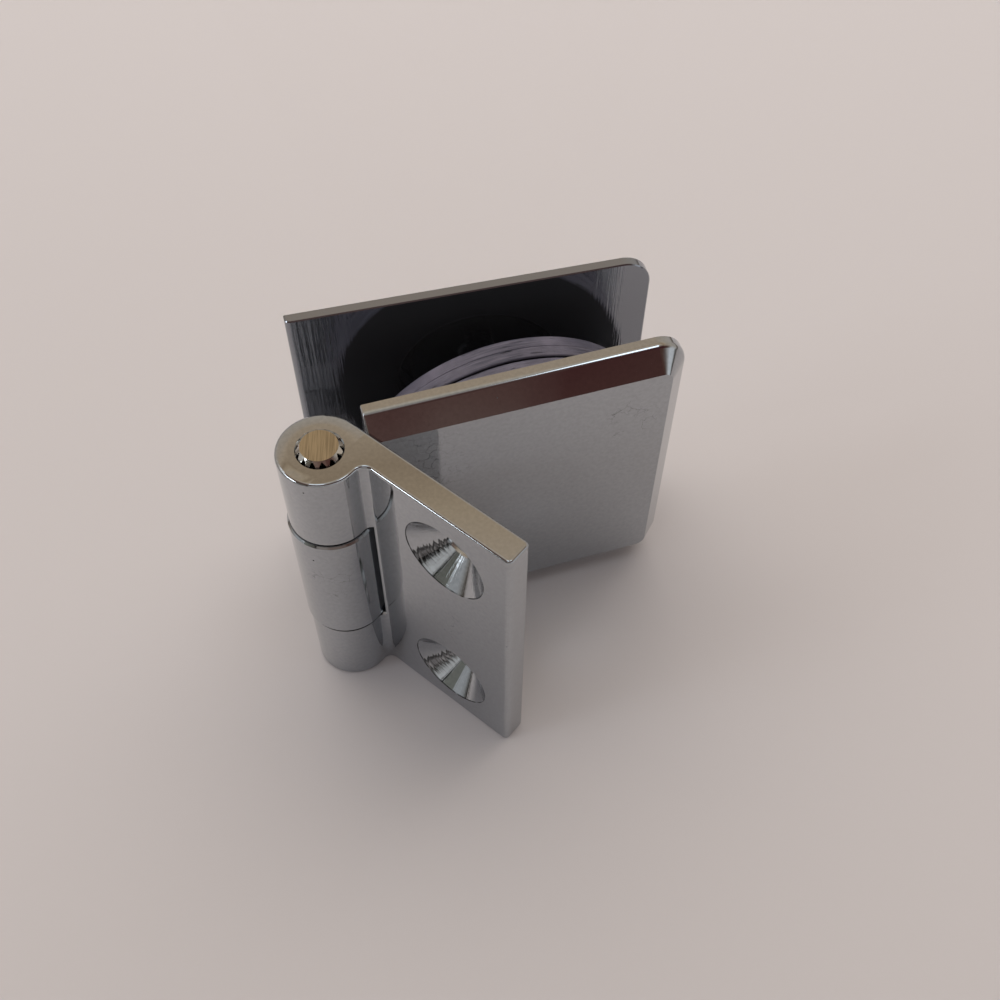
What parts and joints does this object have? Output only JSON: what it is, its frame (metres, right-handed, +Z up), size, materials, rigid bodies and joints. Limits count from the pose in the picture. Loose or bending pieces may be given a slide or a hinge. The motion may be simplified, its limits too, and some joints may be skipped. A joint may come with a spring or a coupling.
{
  "type": "glass door hinge",
  "caption": "Cabinet hinge for a frameless glass door: screw-on wall leaf and pinned barrel, with a bevelled clamp plate, backing plate and round rubber pads that grip the glass.",
  "frame": {"origin": "midpoint of the two wall-screw holes, on the wall leaf's mounting face", "axes": "+X along the clamp plates away from the barrel, +Y from the show plate towards the backing plate, +Z up along the hinge pin"},
  "size_m": [0.0538, 0.0439, 0.0467],
  "materials": {
    "chrome_casting": "polished and chrome plated zinc casting",
    "chrome_plate": "chrome plated steel plate, polished, with fine upright lines",
    "pin_metal": "splined pin with a straight-brushed, slightly brassy end",
    "pad_rubber": "satin grey rubber with fine surface cracks",
    "screw_steel": "plain zinc plated screws"
  },
  "bodies": {
    "wall_side": {"wall_leaf": "chrome_casting", "hinge_pin": "pin_metal"},
    "glass_side": {"glass_leaf": "chrome_casting", "front_pad": "pad_rubber", "rear_pad": "pad_rubber", "backing_plate": "chrome_plate", "upper_clamp_screw": "screw_steel", "lower_clamp_screw": "screw_steel"}
  },
  "joints": [
    {"name": "barrel_hinge", "type": "hinge", "parent": "wall_side", "child": "glass_side", "pos_m": [-0.01386, 0.01116, 0], "axis": [0, 0, 1], "range_deg": [-8, 214]}
  ]
}
